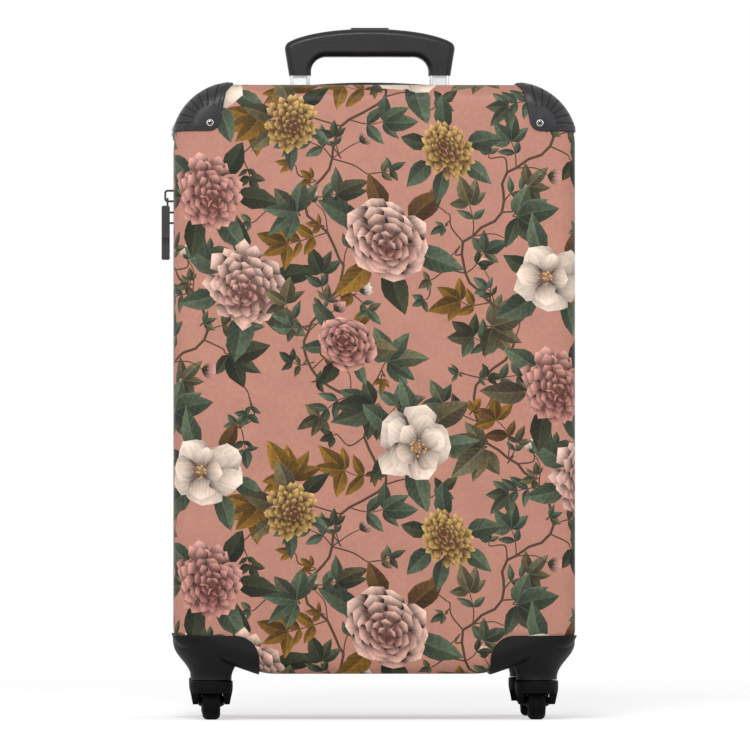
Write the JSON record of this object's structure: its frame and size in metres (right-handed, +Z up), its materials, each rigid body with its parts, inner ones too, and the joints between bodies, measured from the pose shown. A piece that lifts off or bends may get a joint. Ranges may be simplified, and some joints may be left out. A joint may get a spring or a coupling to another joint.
{
  "type": "suitcase",
  "caption": "Hard-shell cabin trolley with a floral print, black corner guards, zip round the middle, telescopic handle with release button and swivelling spinner wheels.",
  "frame": {"origin": "on the floor, below the middle of the parting plane between the two halves", "axes": "+Z up, -Y out of the front face, +X to the right of the front face (the hinged side)"},
  "size_m": [0.3592, 0.2242, 0.6061],
  "materials": {
    "printed_shell": "printed polycarbonate, satin gloss",
    "black_plastic": "moulded ABS, satin",
    "grip_plastic": "moulded ABS, semi-gloss",
    "steel": "zinc-plated steel",
    "chrome": "nickel-plated steel",
    "aluminium": "anodised aluminium",
    "tyre": "polyurethane tyre",
    "tape": "woven polyester tape with nylon teeth",
    "lining": "woven polyester lining",
    "slider_metal": "black lacquered zinc alloy"
  },
  "bodies": {
    "rear_half": {"rear_shell": "printed_shell", "rear_zip_tape": "tape", "rear_hinge_tape": "tape", "rear_lining": "lining", "rear_guard_screws": "chrome", "rear_swivel_pins": "steel", "rear_corner_guard_left": "black_plastic", "rear_corner_guard_right": "black_plastic", "rear_wheel_housing_left": "black_plastic", "rear_wheel_housing_right": "black_plastic", "outer_tube_left": "aluminium", "outer_tube_right": "aluminium", "handle_bezel": "black_plastic", "tube_base": "black_plastic"},
    "front_half": {"front_shell": "printed_shell", "front_zip_tape": "tape", "front_hinge_tape": "tape", "front_lining": "lining", "front_guard_screws": "chrome", "front_swivel_pins": "steel", "front_corner_guard_left": "black_plastic", "front_corner_guard_right": "black_plastic", "front_wheel_housing_left": "black_plastic", "front_wheel_housing_right": "black_plastic"},
    "middle_stage": {"middle_tube_left": "aluminium", "middle_tube_right": "aluminium"},
    "handle": {"inner_tube_left": "aluminium", "inner_tube_right": "aluminium", "grip_body": "grip_plastic", "grip_cap": "grip_plastic", "button_spring": "steel"},
    "release": {"release_button": "grip_plastic", "push_frame": "steel"},
    "upper_slider": {"upper_zip_slider": "slider_metal"},
    "lower_slider": {"lower_zip_slider": "slider_metal"},
    "upper_pull": {"upper_zip_pull": "slider_metal"},
    "lower_pull": {"lower_zip_pull": "slider_metal"},
    "front_left_caster": {"front_left_fork": "black_plastic", "front_left_axle": "steel"},
    "front_left_roller": {"front_left_wheel": "tyre"},
    "front_right_caster": {"front_right_fork": "black_plastic", "front_right_axle": "steel"},
    "front_right_roller": {"front_right_wheel": "tyre"},
    "rear_left_caster": {"rear_left_fork": "black_plastic", "rear_left_axle": "steel"},
    "rear_left_roller": {"rear_left_wheel": "tyre"},
    "rear_right_caster": {"rear_right_fork": "black_plastic", "rear_right_axle": "steel"},
    "rear_right_roller": {"rear_right_wheel": "tyre"}
  },
  "joints": [
    {"name": "lid_hinge", "type": "hinge", "parent": "rear_half", "child": "front_half", "pos_m": [0.1776, 0, 0.3], "axis": [0, 0, 1], "range_deg": [0, 180]},
    {"name": "middle_stage_slide", "type": "slide", "parent": "rear_half", "child": "middle_stage", "axis": [0, 0, 1], "range_m": [0, 0.21]},
    {"name": "handle_slide", "type": "slide", "parent": "middle_stage", "child": "handle", "axis": [0, 0, 1], "range_m": [0, 0.21]},
    {"name": "button_press", "type": "slide", "parent": "handle", "child": "release", "axis": [0, 0, -1], "range_m": [0, 0.0035], "stiffness_N_per_m": 600, "springref_m": -0.003, "deforming": ["button_spring"]},
    {"name": "upper_zip_slide", "type": "slide", "parent": "rear_half", "child": "upper_slider", "axis": [0, 0, 1], "range_m": [0, 0.03]},
    {"name": "lower_zip_slide", "type": "slide", "parent": "rear_half", "child": "lower_slider", "axis": [0, 0, -1], "range_m": [0, 0.3]},
    {"name": "upper_pull_swing", "type": "hinge", "parent": "upper_slider", "child": "upper_pull", "pos_m": [-0.17835, 0, 0.4524], "axis": [0, 1, 0], "range_deg": [0, 130]},
    {"name": "lower_pull_swing", "type": "hinge", "parent": "lower_slider", "child": "lower_pull", "pos_m": [-0.17835, 0, 0.4334], "axis": [0, 1, 0], "range_deg": [0, 130]},
    {"name": "front_left_swivel", "type": "hinge", "parent": "front_half", "child": "front_left_caster", "pos_m": [-0.1406, -0.076, 0.037], "axis": [0, 0, 1], "continuous": true},
    {"name": "front_left_roll", "type": "hinge", "parent": "front_left_caster", "child": "front_left_roller", "pos_m": [-0.1406, -0.067, 0.016], "axis": [1, 0, 0], "continuous": true},
    {"name": "front_right_swivel", "type": "hinge", "parent": "front_half", "child": "front_right_caster", "pos_m": [0.1406, -0.076, 0.037], "axis": [0, 0, 1], "continuous": true},
    {"name": "front_right_roll", "type": "hinge", "parent": "front_right_caster", "child": "front_right_roller", "pos_m": [0.1406, -0.067, 0.016], "axis": [1, 0, 0], "continuous": true},
    {"name": "rear_left_swivel", "type": "hinge", "parent": "rear_half", "child": "rear_left_caster", "pos_m": [-0.1406, 0.076, 0.037], "axis": [0, 0, 1], "continuous": true},
    {"name": "rear_left_roll", "type": "hinge", "parent": "rear_left_caster", "child": "rear_left_roller", "pos_m": [-0.1406, 0.085, 0.016], "axis": [1, 0, 0], "continuous": true},
    {"name": "rear_right_swivel", "type": "hinge", "parent": "rear_half", "child": "rear_right_caster", "pos_m": [0.1406, 0.076, 0.037], "axis": [0, 0, 1], "continuous": true},
    {"name": "rear_right_roll", "type": "hinge", "parent": "rear_right_caster", "child": "rear_right_roller", "pos_m": [0.1406, 0.085, 0.016], "axis": [1, 0, 0], "continuous": true}
  ]
}
